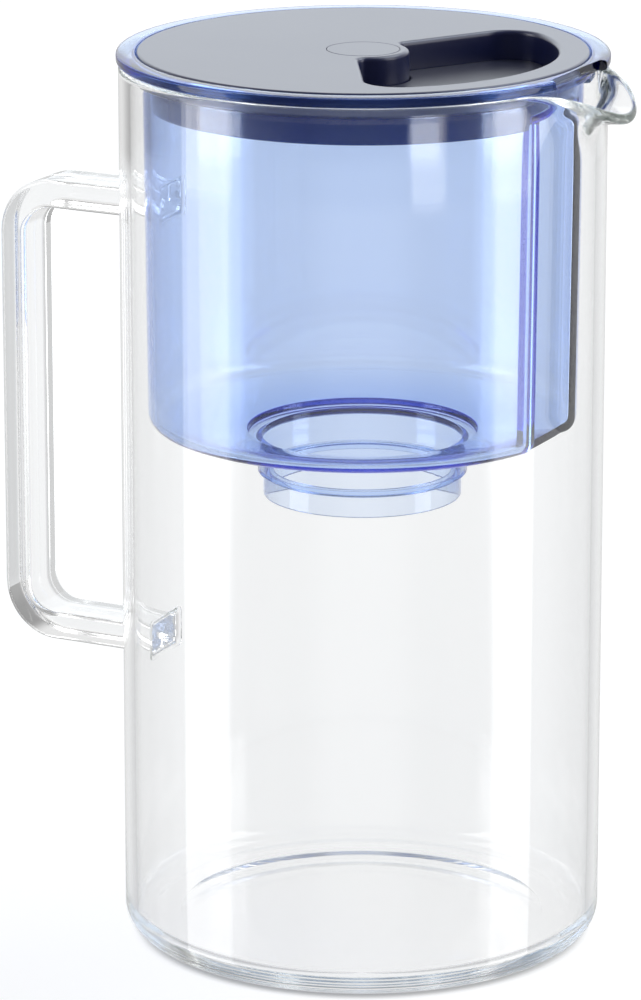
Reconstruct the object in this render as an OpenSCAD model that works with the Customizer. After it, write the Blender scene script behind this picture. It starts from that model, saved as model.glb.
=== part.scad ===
// Glass water filter pitcher: a clear jug with a fused bar handle and a pulled spout,
// a hanging reservoir with a cartridge seat, and a two-piece lid with a sprung filler flap.
// Origin on the jug's axis at the table, +Z up, +X towards the spout, -X towards the handle.

/* [Jug] */
// Outer diameter of the glass jug
jug_d = 125; // [110:1:150]
// Height of the jug's rim above the table
jug_h = 231.6; // [195:0.2:280]
// Thickness of the glass wall
glass_wall = 3; // [2.4:0.1:3.6]
// Thickness of the glass above the foot ring
base_t = 5; // [4:0.5:8]
// Outer radius of the rounded bottom edge
base_corner_r = 7; // [6:0.5:12]
// Width of the foot ring that the jug stands on
foot_w = 7.5; // [5:0.5:12]
// Rise of the middle of the base above the table
push_up = 1.4; // [0.6:0.1:3]

/* [Spout] */
// Reach of the spout's tip beyond the middle of the wall
spout_reach = 12.6; // [8:0.1:18]
// Drop of the spout's tip below the rim
spout_drop = 6.5; // [3:0.1:9]
// Half of the angle of rim that the spout takes
spout_half_angle = 25.5; // [18:0.5:32]
// Depth of the pulled channel below the rim
spout_depth = 20; // [15:0.5:30]

/* [Handle] */
// Distance from the jug's wall to the handle's outer face
handle_reach = 41.1; // [32:0.1:55]
// Height of the handle, outside to outside
handle_h = 125.8; // [95:0.2:150]
// Distance of the handle's top below the rim
handle_drop = 38.5; // [25:0.5:50]
// Thickness of the flat glass bar
handle_t = 7.5; // [5:0.1:9]
// Width of the flat glass bar
handle_w = 15.6; // [11:0.1:20]
// Outer radius of the handle's two corners
handle_corner_r = 15; // [11:0.5:20]
// Radius of the long edges of the handle
handle_edge_r = 1.4; // [1:0.1:2.4]

/* [Reservoir] */
// Depth of the reservoir's body below the jug's rim
reservoir_depth = 94.6; // [80:0.2:115]
// Thickness of the reservoir's wall
reservoir_wall = 1.8; // [1.4:0.1:2.2]
// Running gap between the reservoir's neck and the glass
neck_gap = 3.2; // [2.6:0.1:4]
// Draft of the wall on the radius from neck to floor
reservoir_draft = 0.8; // [0.4:0.1:1.5]
// Radius of the edge between wall and floor
reservoir_corner_r = 4.5; // [3:0.5:7]
// Height of the flange that lies on the rim
flange_h = 2.6; // [2.2:0.1:4]
// Overhang of the flange beyond the glass
flange_overhang = 0.6; // [0.3:0.1:1.5]
// Fall of the floor from wall to seat
floor_fall = 3.3; // [2:0.1:6]

/* [Pouring recess] */
// Half width of the recess behind the spout
recess_half_w = 12; // [8:0.5:15]
// Wall between the recess and the reservoir's inside
recess_wall = 1.5; // [1.2:0.1:1.8]
// Half width of the cut in the flange above the spout
flange_cut_half_w = 15; // [12:0.5:18]

/* [Filter seat] */
// Radius of the bore that takes a cartridge
seat_r = 26; // [22:0.5:28]
// Length of that bore
seat_len = 8.8; // [7:0.2:12]
// Thickness of the collar's wall
collar_wall = 1.25; // [1:0.05:1.8]
// Length of the collar's lower step
collar_step_h = 6.2; // [4:0.2:9]
// Width of the flat ring around the bore's mouth
seat_ring_w = 3.7; // [2.5:0.1:5]

/* [Lid] */
// Thickness of the lid's plate
plate_t = 2.8; // [2.4:0.1:4]
// Length of the skirt below the plate
skirt_len = 10.7; // [8:0.1:16]
// Thickness of the skirt
skirt_wall = 2; // [1.5:0.1:2.5]
// Radius of the cap in the middle of the lid
cap_r = 9.3; // [7:0.1:9.5]
// Thickness of that cap's head
cap_t = 1.2; // [0.8:0.1:1.6]

/* [Filler pocket and flap] */
// Depth of the pocket's floor below the lid's top
pocket_depth = 7.5; // [6:0.1:9]
// Half of the pocket's opening angle
pocket_half_angle = 60; // [50:1:62]
// Radius of the boss that the pocket wraps around
boss_r = 11.8; // [11:0.1:13]
// Thickness of the pocket's walls
pocket_wall = 1.8; // [1.4:0.1:2.2]
// Thickness of the flap's plate
flap_t = 1.8; // [1.4:0.1:2.4]
// Radius of the steel hinge pins
pin_r = 1; // [0.8:0.05:1.3]
// Radius of the spring's wire
wire_r = 0.3; // [0.2:0.05:0.35]
// Swing of the flap from closed to open, in degrees
flap_swing = 75; // [60:1:80]

/* [Clearances] */
// Gap at rest under pieces that are lifted out
rest_gap = 0.3; // [0.2:0.05:0.5]
// Gap around the lid's plate and the flap
side_gap = 0.35; // [0.25:0.05:0.5]
// Radial clearance of the flap's hinge
pin_gap = 0.05; // [0.03:0.01:0.08]

/* [Hidden] */
$fn = 120;
eps = 0.01;

// Jug
jug_r = jug_d / 2;
glass_in_r = jug_r - glass_wall;
glass_mid_r = jug_r - glass_wall / 2;
inner_corner_r = base_corner_r - glass_wall;
foot_out_r = jug_r - base_corner_r;

// Reservoir, measured down from the rim
flange_z = jug_h + rest_gap;
lid_top_gap = 0.2;
rim_z = flange_z + flange_h;
flange_r = jug_r + flange_overhang;
locating_gap = 0.6;
locating_r = glass_in_r - locating_gap;
ledge_w = 3.6;
neck_r = glass_in_r - neck_gap;
neck_in_r = neck_r - reservoir_wall;
ledge_r = neck_in_r + ledge_w;
lid_z = rim_z + lid_top_gap;
plate_z = lid_z - plate_t;
ledge_z = plate_z - rest_gap;
neck_z = ledge_z - reservoir_wall;
tub_z = jug_h - reservoir_depth;
tub_r = neck_r - reservoir_draft;
tub_in_r = tub_r - reservoir_wall;
flange_edge_r = 0.8;

// Filter seat
collar_r = seat_r + collar_wall;
ring_out_r = seat_r + seat_ring_w;
ring_step = 1.6;
seat_z = tub_z - floor_fall + 0.3;
ledge_lip_w = 2.8;
lip_t = 1;
collar_base_z = seat_z - seat_len - lip_t;
collar_step_r = collar_r - 1.5;
collar_end_z = collar_base_z - collar_step_h;

// Lid
lid_r = ledge_r - side_gap;
skirt_r = neck_in_r - 0.5;
skirt_z = plate_z - skirt_len;
pocket_r = skirt_r - skirt_wall - 0.5 - pocket_wall;
pocket_side = 2;
pocket_outer_corner = 9;
pocket_inner_corner = 2.5;
pocket_edge_r = 1.2;
edge_steps = 4;
flap_z = lid_z - pocket_depth;
flap_low_z = flap_z - flap_t;
stem_r = 2.5;
stem_len = 5;

// Flap hinge, with its axis along Y below the inner end of the pocket
hinge_x = 3;
knuckle_r = pin_r + pin_gap + 0.95;
hinge_z = flap_low_z - rest_gap - knuckle_r - 0.3;
coil_r = pin_r + 0.4 + wire_r;
coil_pitch = (2 * wire_r + 0.03) / (1 - flap_swing / 360);
turns_each = 2;
ear_t = 2;
inner_ear_y = 8.3;
coil_y = inner_ear_y + ear_t + 0.35 + wire_r;
coil_end_y = coil_y + 2 * turns_each * coil_pitch;
knuckle_y = coil_end_y + wire_r + 0.3;
knuckle_len = 3;
outer_ear_y = knuckle_y + knuckle_len + 0.3;
pin_start_y = inner_ear_y - 0.3;
pin_end_y = outer_ear_y + ear_t + 0.3;

// Pouring recess, just clear of the flap when it swings
recess_roof_z = flap_low_z - 1 - recess_wall;
recess_top_x = pocket_r + 0.1 + recess_wall;
recess_h = recess_roof_z - collar_end_z;
recess_tilt = atan(reservoir_draft / (recess_roof_z - tub_z));
flange_cut_x = ledge_r + 1.1;

// Points on an arc from angle a0 to a1 about a centre
function arc(c, r, a0, a1, n = 8) =
    [for (i = [0:n]) let (a = a0 + (a1 - a0) * i / n) [c[0] + r * cos(a), c[1] + r * sin(a)]];
function lerp(a, b, t) = a + (b - a) * t;
// Closed skin over rings of points, with flat ends
function skin_faces(rings, sides) = concat(
    [[for (j = [0:sides - 1]) sides - 1 - j]],
    [for (i = [0:rings - 2]) for (j = [0:sides - 1]) let (k = (j + 1) % sides)
        each [[i * sides + j, i * sides + k, (i + 1) * sides + k],
              [i * sides + j, (i + 1) * sides + k, (i + 1) * sides + j]]],
    [[for (j = [0:sides - 1]) (rings - 1) * sides + j]]);

// ---------- Jug ----------

module jug_blank() {
    dome_n = 8;
    foot_in_r = foot_out_r - foot_w;
    rotate_extrude($fn = 180)
        polygon(concat(
            [for (i = [0:dome_n]) [foot_in_r * i / dome_n, push_up * (1 - pow(i / dome_n, 4))]],
            arc([foot_out_r, base_corner_r], base_corner_r, -90, 0),
            arc([glass_mid_r, jug_h - glass_wall / 2], glass_wall / 2, 0, 180, 10),
            arc([glass_in_r - inner_corner_r, base_t + inner_corner_r], inner_corner_r, 0, -90),
            [[0, base_t + push_up / 2]]));
}

// The spout's wall, followed by its middle line in each half plane through the axis
spout_sink = 2;
spout_lap = 1.5;
spout_inset = 0.15;
spout_rows = 24;
spout_run = 10;
lip_n = 6;

function pull(a, power) = pow(pow(cos(90 * min(1, abs(a) / spout_half_angle)), 2), power);
function spout_poles(a) =
    let (reach = pull(a, 1.05), drop = pull(a, 2.2), top = jug_h - glass_wall / 2,
         lip = [glass_mid_r + spout_reach * reach, top - spout_drop * drop],
         low = jug_h - spout_depth - spout_sink,
         p1 = [glass_mid_r, lerp(lerp(low, top, 1 / 3), lip[1] - 1.5, reach)],
         p2 = [glass_mid_r + 2 * reach, lerp(lerp(low, top, 2 / 3), lip[1] - 1, reach)])
    [[glass_mid_r, low], p1, p2, lip];
function curve(p, t) = pow(1 - t, 3) * p[0] + 3 * t * pow(1 - t, 2) * p[1]
    + 3 * t * t * (1 - t) * p[2] + pow(t, 3) * p[3];
function slope(p, t) = let (d = pow(1 - t, 2) * (p[1] - p[0]) + 2 * t * (1 - t) * (p[2] - p[1])
    + t * t * (p[3] - p[2])) d / norm(d);
function spout_loop(a) =
    let (p = spout_poles(a), half = glass_wall / 2 - spout_inset)
    concat(
        [for (i = [0:spout_run]) let (t = i / spout_run, d = slope(p, t))
            curve(p, t) + half * [d[1], -d[0]]],
        [for (i = [1:lip_n - 1]) let (d = slope(p, 1), b = 180 * i / lip_n)
            p[3] + half * (cos(b) * [d[1], -d[0]] + sin(b) * d)],
        [for (i = [0:spout_run]) let (t = 1 - i / spout_run, d = slope(p, t))
            curve(p, t) - half * [d[1], -d[0]]]);

module spout_skin() {
    sides = 2 * (spout_run + 1) + lip_n - 1;
    edge = spout_half_angle + spout_lap;
    polyhedron(
        [for (i = [0:spout_rows]) let (a = -edge + 2 * edge * i / spout_rows)
            for (q = spout_loop(a)) [q[0] * cos(a), q[0] * sin(a), q[1]]],
        skin_faces(spout_rows + 1, sides));
}

module glass_body() {
    color([0.86, 0.93, 0.95, 0.35]) union() {
        difference() {
            jug_blank();
            rotate([0, 0, -spout_half_angle])
                rotate_extrude(angle = 2 * spout_half_angle)
                    translate([glass_in_r - 2, jug_h - spout_depth])
                        square([glass_wall + 4, spout_depth + 2]);
        }
        spout_skin();
    }
}

// A rounded flat bar bent to a C, flared where it is fused to the wall
bar_sides = 24;
bend_n = 8;
weld_flare = 0.28;
weld_fade = 2.6;
weld_steps = [-1.5, 0, 1.2, 2.6, 4.5, 7, 11];

function bar_ring(x, z, turn) =
    let (fade = 1 + weld_flare * exp(-max(0, -jug_r - x) / weld_fade), r = handle_edge_r,
        u0 = handle_t / 2 * fade - r, v0 = handle_w / 2 * fade - r, n = bar_sides / 4)
    [for (q = [0:3]) for (k = [0:n - 1]) let (a = 90 * (q + k / (n - 1)),
        u = (q == 0 || q == 3 ? u0 : -u0) + r * cos(a),
        v = (q < 2 ? v0 : -v0) + r * sin(a))
        [x + u * sin(turn), v, z + u * cos(turn)]];

module glass_handle() {
    top = jug_h - handle_drop - handle_t / 2;
    low = top - handle_h + handle_t;
    bend_r = handle_corner_r - handle_t / 2;
    far_x = -jug_r - handle_reach + handle_t / 2;
    route = concat(
        [for (s = weld_steps) [-jug_r - s, top, 0]],
        [for (i = [0:bend_n]) let (a = 90 * i / bend_n)
            [far_x + bend_r - bend_r * sin(a), top - bend_r + bend_r * cos(a), -a]],
        [for (i = [0:bend_n]) let (a = 90 + 90 * i / bend_n)
            [far_x + bend_r - bend_r * sin(a), low + bend_r + bend_r * cos(a), -a]],
        [for (i = [len(weld_steps) - 1:-1:0]) [-jug_r - weld_steps[i], low, -180]]);
    color([0.88, 0.94, 0.96, 0.45]) difference() {
        polyhedron([for (p = route) each bar_ring(p[0], p[1], p[2])],
            skin_faces(len(route), bar_sides));
        translate([0, 0, low - 30]) cylinder(r = jug_r, h = handle_h + 60, $fn = 180);
    }
}

// ---------- Reservoir ----------

module recess_block(grow, lift) {
    translate([recess_top_x - grow, 0, recess_roof_z + lift])
        rotate([0, recess_tilt, 0])
            translate([0, -recess_half_w - grow, -recess_h])
                cube([30, 2 * (recess_half_w + grow), recess_h]);
}

module reservoir_outside() {
    rotate_extrude() polygon(concat(
        [[0, collar_end_z], [collar_step_r, collar_end_z], [collar_step_r, collar_base_z]],
        [[collar_r, collar_base_z], [collar_r, seat_z - reservoir_wall]],
        [[ring_out_r + 0.2, seat_z - reservoir_wall]],
        arc([tub_r - reservoir_corner_r, tub_z + reservoir_corner_r], reservoir_corner_r, -85, 0),
        [[neck_r, neck_z], [locating_r, neck_z], [locating_r, flange_z]],
        arc([flange_r - flange_edge_r, flange_z + flange_edge_r], flange_edge_r, -90, 0, 4),
        arc([flange_r - flange_edge_r, rim_z - flange_edge_r], flange_edge_r, 0, 90, 4),
        [[0, rim_z]]));
}

module reservoir_inside() {
    bend = reservoir_corner_r - reservoir_wall;
    rotate_extrude() polygon(concat(
        [[0, collar_end_z - 1], [collar_step_r - collar_wall, collar_end_z - 1]],
        [[collar_step_r - collar_wall, collar_base_z - 0.8]],
        [[seat_r - ledge_lip_w, collar_base_z - 0.8], [seat_r - ledge_lip_w, seat_z - seat_len]],
        [[seat_r, seat_z - seat_len], [seat_r, seat_z], [ring_out_r, seat_z]],
        [[ring_out_r, seat_z + ring_step]],
        arc([tub_in_r - bend, tub_z + reservoir_corner_r], bend, -85, 0),
        [[neck_in_r, neck_z], [neck_in_r, ledge_z], [ledge_r, ledge_z]],
        [[ledge_r, rim_z + 1], [0, rim_z + 1]]));
}

module reservoir() {
    color([0.55, 0.66, 0.95, 0.55]) difference() {
        reservoir_outside();
        recess_block(0, 0);
        difference() {
            reservoir_inside();
            recess_block(recess_wall, recess_wall);
        }
        translate([flange_cut_x, -flange_cut_half_w, neck_z - 1])
            cube([20, 2 * flange_cut_half_w, rim_z - neck_z + 2]);
    }
}

// Soft ring below the locating step, open above the pouring recess
module rim_seal() {
    seal_h = 1.3;
    color([0.75, 0.76, 0.78]) difference() {
        rotate_extrude() polygon(
            [[neck_r + 0.05, neck_z - seal_h], [locating_r + 0.2, neck_z - seal_h + 0.35],
             [locating_r + 0.3, neck_z - 0.45], [locating_r, neck_z], [neck_r + 0.05, neck_z]]);
        translate([0, -recess_half_w - 1, neck_z - seal_h - 1])
            cube([jug_r, 2 * recess_half_w + 2, seal_h + 2]);
    }
}

// ---------- Lid ----------

// Centre of a round corner that touches the pocket's side line and a round wall about the axis
function corner_at(depth, r) =
    depth * [sin(pocket_half_angle), -cos(pocket_half_angle)]
    + sqrt(r * r - depth * depth) * [cos(pocket_half_angle), sin(pocket_half_angle)];
inner_at = corner_at(pocket_inner_corner - pocket_side, boss_r + pocket_inner_corner);
outer_at = corner_at(pocket_outer_corner - pocket_side, pocket_r - pocket_outer_corner);
inner_turn = atan2(inner_at[1], inner_at[0]);
outer_turn = atan2(outer_at[1], outer_at[0]);

// Outline of the filler pocket, moved outwards by grow: a sector with round corners, wrapped
// around the boss. The far wall and the boss's side have the same number of points.
far_steps = 14;
corner_steps = 8;
chain = far_steps + corner_steps + 1;
pocket_sides = 4 * chain - 2;
function tail(v) = [for (i = [1:len(v) - 1]) v[i]];
function pocket_half(grow) = concat(
    arc([0, 0], pocket_r + grow, 0, outer_turn, far_steps),
    tail(arc(outer_at, pocket_outer_corner + grow, outer_turn, pocket_half_angle + 90, corner_steps)),
    arc(inner_at, pocket_inner_corner + grow, pocket_half_angle + 90, inner_turn + 180, corner_steps),
    tail(arc([0, 0], boss_r - grow, inner_turn, 0, far_steps)));
function pocket_line(grow) = let (h = pocket_half(grow))
    concat(h, [for (i = [len(h) - 2:-1:1]) [h[i][0], -h[i][1]]]);
// Flat end of a skin over pocket outlines, as strips from the far wall to the boss's side
function pocket_end(first, up) = [for (i = [0:chain - 2]) for (side = [0, 1])
    let (q = [i, i + 1, 2 * chain - 2 - i, 2 * chain - 1 - i],
         r = side == 0 ? q : [for (k = q) (pocket_sides - k) % pocket_sides],
         f = [for (k = r) first + k])
    each (side == 0) == up ? [[f[2], f[1], f[0]], [f[3], f[2], f[0]]]
        : [[f[0], f[1], f[2]], [f[0], f[2], f[3]]]];

module pocket_outline(grow = 0) {
    polygon(pocket_line(grow));
}

// Hollow of the pocket, widening to the plate's top in a quarter round
module pocket_hollow() {
    levels = concat([[0, flap_low_z - 1]],
        [for (i = [0:edge_steps]) let (a = 90 * i / edge_steps)
            [pocket_edge_r * (1 - cos(a)), lid_z - pocket_edge_r * (1 - sin(a))]],
        [[pocket_edge_r, lid_z + 1]]);
    n = pocket_sides;
    polyhedron([for (l = levels) for (p = pocket_line(l[0])) [p[0], p[1], l[1]]], concat(
        pocket_end(0, false),
        [for (i = [0:len(levels) - 2]) for (j = [0:n - 1]) let (k = (j + 1) % n)
            each [[i * n + j, i * n + k, (i + 1) * n + k],
                  [i * n + j, (i + 1) * n + k, (i + 1) * n + j]]],
        pocket_end((len(levels) - 1) * n, true)));
}

module hinge_ear(y) {
    ear_w = 2 * knuckle_r + 1;
    for (side = [-1, 1]) difference() {
        union() {
            translate([hinge_x - ear_w / 2, side * (y + ear_t / 2) - ear_t / 2, hinge_z])
                cube([ear_w, ear_t, plate_z - hinge_z + eps]);
            translate([hinge_x, side * (y + ear_t / 2) + ear_t / 2, hinge_z])
                rotate([90, 0, 0]) cylinder(r = ear_w / 2, h = ear_t, $fn = 48);
        }
        translate([hinge_x, side * (y + ear_t / 2) + ear_t, hinge_z])
            rotate([90, 0, 0]) cylinder(r = pin_r + pin_gap, h = 2 * ear_t, $fn = 32);
    }
}

// Small ledges on the pocket's far wall that stop the flap at its closed place
module flap_stops() {
    for (a = [-24, 24]) rotate([0, 0, a])
        translate([pocket_r - 1.1, -2, flap_z + 0.15]) cube([pocket_wall, 4, 1]);
}

module lid_cover() {
    color([0.2, 0.22, 0.34]) difference() {
        union() {
            rotate_extrude() polygon(concat(
                [[0, plate_z]], arc([lid_r - 0.4, plate_z + 0.4], 0.4, -90, 0, 3),
                arc([lid_r - 0.7, lid_z - 0.7], 0.7, 0, 90, 4), [[0, lid_z]]));
            translate([0, 0, flap_low_z]) linear_extrude(plate_z - flap_low_z + eps)
                pocket_outline(pocket_wall);
            hinge_ear(inner_ear_y);
            hinge_ear(outer_ear_y);
            translate([0, 0, flap_low_z])
                cylinder(r = stem_r + 2, h = plate_z - flap_low_z + eps, $fn = 48);
        }
        difference() {
            pocket_hollow();
            flap_stops();
        }
        translate([0, 0, lid_z - cap_t - 0.05]) cylinder(r = cap_r + 0.1, h = cap_t + 1);
        translate([0, 0, flap_low_z - 1])
            cylinder(r = stem_r + 0.05, h = pocket_depth + flap_t + 1, $fn = 48);
    }
}

// Glossy ring that centres the lid, notched over the wall of the pouring recess
module lid_skirt() {
    notch_half_w = recess_half_w + recess_wall + 0.6;
    color([0.12, 0.16, 0.33]) difference() {
        rotate_extrude() polygon(
            [[skirt_r - skirt_wall, skirt_z + 0.4], [skirt_r - skirt_wall + 0.4, skirt_z],
             [skirt_r - 0.5, skirt_z], [skirt_r, skirt_z + 0.5], [skirt_r, plate_z],
             [skirt_r - skirt_wall, plate_z]]);
        translate([0, -notch_half_w, skirt_z - 1])
            cube([jug_r, 2 * notch_half_w, recess_roof_z + recess_wall + 0.6 - skirt_z + 1]);
    }
}

module centre_cap() {
    color([0.22, 0.24, 0.36]) union() {
        translate([0, 0, lid_z - cap_t]) rotate_extrude() polygon(
            [[0, 0], [cap_r, 0], [cap_r, cap_t - 0.15], [cap_r - 0.15, cap_t], [0, cap_t]]);
        translate([0, 0, lid_z - cap_t - stem_len]) cylinder(r = stem_r, h = stem_len + eps, $fn = 48);
    }
}

module hinge_pins() {
    color("silver") for (side = [-1, 1])
        translate([hinge_x, side > 0 ? pin_end_y : -pin_start_y, hinge_z])
            rotate([90, 0, 0]) cylinder(r = pin_r, h = pin_end_y - pin_start_y, $fn = 32);
}

// ---------- Flap and its torsion springs ----------

module filler_flap() {
    color([0.24, 0.26, 0.37]) difference() {
        union() {
            translate([0, 0, flap_low_z]) linear_extrude(flap_t) pocket_outline(-side_gap);
            for (side = [-1, 1]) {
                translate([hinge_x, side * (knuckle_y + knuckle_len / 2) + knuckle_len / 2, hinge_z])
                    rotate([90, 0, 0]) cylinder(r = knuckle_r, h = knuckle_len, $fn = 48);
                arm_block(side);
            }
        }
        for (side = [-1, 1])
            translate([hinge_x, side * (knuckle_y + knuckle_len / 2) + knuckle_len, hinge_z])
                rotate([90, 0, 0])
                    cylinder(r = pin_r + pin_gap, h = 2 * knuckle_len, $fn = 32);
    }
}

// Arm from a knuckle up to the plate, kept below the pocket's walls until it is inside them
module arm_block(side) {
    arm_len = 11;
    y0 = side > 0 ? knuckle_y : -knuckle_y - knuckle_len;
    translate([hinge_x, y0, hinge_z]) difference() {
        cube([arm_len, knuckle_len, flap_low_z - rest_gap - hinge_z]);
        translate([-1, -1, -1]) cube([knuckle_r, knuckle_len + 2, knuckle_r]);
    }
    intersection() {
        translate([hinge_x, y0, flap_low_z - 1]) cube([arm_len, knuckle_len, 1.5]);
        translate([0, 0, flap_low_z - 2]) linear_extrude(4) pocket_outline(-side_gap);
    }
}

wire_sides = 8;
turn_steps = 20;
arm_reach = 7.5;

function wire_ring(p, d) =
    [for (j = [0:wire_sides - 1]) let (a = 360 * j / wire_sides)
        p + wire_r * (cos(a) * [0, 1, 0] + sin(a) * [-d[1], 0, d[0]])];
// Helix about the hinge's axis from its top, with n turns towards +X and down
function coil_rings(y0, n, sense) =
    [for (i = [0:n * turn_steps]) let (a = 90 - 360 * i / turn_steps)
        wire_ring([hinge_x + coil_r * cos(a), sense * (y0 + coil_pitch * i / turn_steps),
            hinge_z + coil_r * sin(a)], [sin(a), -cos(a)])];

module wire(rings) {
    polyhedron([for (r = rings) each r], skin_faces(len(rings), wire_sides));
}

// Fixed halves: each leg bears up under the boss's wall
module spring_coils() {
    leg_z = min(hinge_z + coil_r, flap_low_z - 0.1 - wire_r);
    color([0.7, 0.7, 0.72]) for (side = [-1, 1])
        wire(concat(
            [wire_ring([hinge_x - arm_reach, side * coil_y, leg_z], [1, 0])],
            coil_rings(coil_y, turns_each, side)));
}

// Moving halves: each leg bears up under the flap
module spring_arms() {
    start_y = coil_y + turns_each * coil_pitch;
    leg_z = flap_low_z - wire_r - 0.1;
    color([0.7, 0.7, 0.72]) for (side = [-1, 1])
        wire(concat(
            coil_rings(start_y, turns_each, side),
            [wire_ring([hinge_x + arm_reach, side * coil_end_y, leg_z], [1, 0])]));
}

glass_body();
glass_handle();
reservoir();
rim_seal();
lid_cover();
lid_skirt();
centre_cap();
hinge_pins();
spring_coils();
filler_flap();
spring_arms();
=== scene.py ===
"""Looks of a glass water filter pitcher with a hanging reservoir and a sprung filler flap.

Lengths in the classes of the pieces are in millimetres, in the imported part's frame: +Z up, +X
towards the spout, origin on the jug's axis at the table. Meshes are scaled to metres when made.
"""

import logging
import math
from collections.abc import Callable, Mapping, Sequence
from dataclasses import dataclass, field
from enum import Enum
from typing import Any

import bpy
import numpy as np
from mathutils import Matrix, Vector
from mathutils.geometry import tessellate_polygon


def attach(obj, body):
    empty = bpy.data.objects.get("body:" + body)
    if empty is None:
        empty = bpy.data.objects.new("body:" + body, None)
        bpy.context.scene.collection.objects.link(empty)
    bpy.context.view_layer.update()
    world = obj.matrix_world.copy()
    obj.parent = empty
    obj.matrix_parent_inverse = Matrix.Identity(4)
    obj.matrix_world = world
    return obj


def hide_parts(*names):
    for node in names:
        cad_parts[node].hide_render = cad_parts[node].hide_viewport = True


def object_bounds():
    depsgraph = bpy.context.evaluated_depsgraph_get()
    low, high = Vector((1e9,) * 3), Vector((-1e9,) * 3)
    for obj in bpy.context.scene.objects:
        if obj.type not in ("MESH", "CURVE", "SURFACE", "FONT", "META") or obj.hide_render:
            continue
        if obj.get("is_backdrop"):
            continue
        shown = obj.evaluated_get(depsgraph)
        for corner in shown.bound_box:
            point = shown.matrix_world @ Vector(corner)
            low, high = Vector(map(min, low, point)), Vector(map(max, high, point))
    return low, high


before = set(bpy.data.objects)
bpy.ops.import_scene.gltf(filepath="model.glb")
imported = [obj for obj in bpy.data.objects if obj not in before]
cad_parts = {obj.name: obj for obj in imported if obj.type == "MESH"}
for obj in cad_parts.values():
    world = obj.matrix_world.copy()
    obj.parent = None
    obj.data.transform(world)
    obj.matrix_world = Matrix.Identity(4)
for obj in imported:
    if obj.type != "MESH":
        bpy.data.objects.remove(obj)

MM = 0.001
Array = np.ndarray
Object = bpy.types.Object
Colour = tuple[float, float, float]
log = logging.getLogger("pitcher")


class End(Enum):
    """How the first or last ring of a skin is closed."""

    POINT = "point"
    FLAT = "flat"


# ---------------------------------------------------------------- numpy shapes


def smooth_step(t: Array) -> Array:
    """Rise smoothly from 0 to 1.

    Args:
        t: Values, where 0 and less give 0, and 1 and more give 1.

    Returns:
        3t^2 - 2t^3 of the clamped values.
    """
    t = np.clip(t, 0.0, 1.0)
    return t * t * (3.0 - 2.0 * t)


def full_turn(n: int) -> Array:
    """The angles of n even steps once round, in radians."""
    return 2 * np.pi * np.arange(n) / n


def arc(centre: Sequence[float], radius: float, start: float, end: float, n: int) -> Array:
    """Points on an arc: centre + radius * (cos a, sin a), with a from start to end.

    Args:
        centre: The two coordinates of the centre.
        radius: The radius.
        start: First angle in degrees.
        end: Last angle in degrees.
        n: Number of points.

    Returns:
        An array of n points with two coordinates.
    """
    a = np.radians(np.linspace(start, end, n))
    return np.stack([centre[0] + radius * np.cos(a), centre[1] + radius * np.sin(a)], axis=1)


def rounded(corners: Sequence[Sequence[float]], closed: bool = True, n: int = 5) -> Array:
    """Round the corners of a line: each corner gives way to an arc that touches both its sides.

    The arc starts and ends radius / tan(half the corner's angle) from the corner, and its centre
    lies radius from both sides, on their bisector.

    Args:
        corners: Points (x, y, radius); a radius of 0 keeps the corner sharp.
        closed: Whether the last point joins the first.
        n: Points on each arc.

    Returns:
        An array of points with two coordinates.
    """
    pts = np.array(corners, float)
    out = []
    count = len(pts)
    for i, (x, y, radius) in enumerate(pts):
        here = np.array([x, y])
        if radius <= 0 or (not closed and i in (0, count - 1)):
            out.append(here[None])
            continue
        before, after = pts[i - 1, :2] - here, pts[(i + 1) % count, :2] - here
        lb, la = np.linalg.norm(before), np.linalg.norm(after)
        before, after = before / lb, after / la
        half = math.acos(float(np.clip(before @ after, -1, 1))) / 2
        reach = min(radius / math.tan(half), 0.49 * lb, 0.49 * la)
        real = reach * math.tan(half)
        bisector = (before + after) / np.linalg.norm(before + after)
        centre = here + bisector * real / math.sin(half)
        p, q = here + before * reach - centre, here + after * reach - centre
        a0, a1 = math.atan2(p[1], p[0]), math.atan2(q[1], q[0])
        turn = (a1 - a0 + math.pi) % (2 * math.pi) - math.pi
        a = a0 + turn * np.linspace(0, 1, n)
        out.append(centre + real * np.stack([np.cos(a), np.sin(a)], axis=1))
    return np.concatenate(out)


def spaced(values: Sequence[float], steps: Sequence[int]) -> Array:
    """Split each gap between neighbouring values into that many equal steps.

    Args:
        values: Rising values.
        steps: One count for each gap.

    Returns:
        The values with the points between them.
    """
    parts = [np.linspace(a, b, s, endpoint=False) for a, b, s in zip(values, values[1:], steps)]
    return np.concatenate([*parts, [values[-1]]])


def turned(r: Array, z: Array, a: Array) -> Array:
    """Points about Z: (r, z) at angle a is (r cos a, r sin a, z), with the arrays broadcast."""
    return np.stack(np.broadcast_arrays(r * np.cos(a), r * np.sin(a), z), axis=-1)


def lathe(profile: Array, angles: Array) -> Array:
    """Turn a profile about Z.

    Args:
        profile: Points (r, z).
        angles: Angles in radians, once round without repeating the first.

    Returns:
        Rings, as an array of profile points by angles by three coordinates.
    """
    return turned(profile[:, 0, None], profile[:, 1, None], angles[None])


def level(outline: Array, z: float) -> Array:
    """Lift a flat outline (x, y) to the height z."""
    return np.column_stack([outline, np.full(len(outline), z)])


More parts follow.
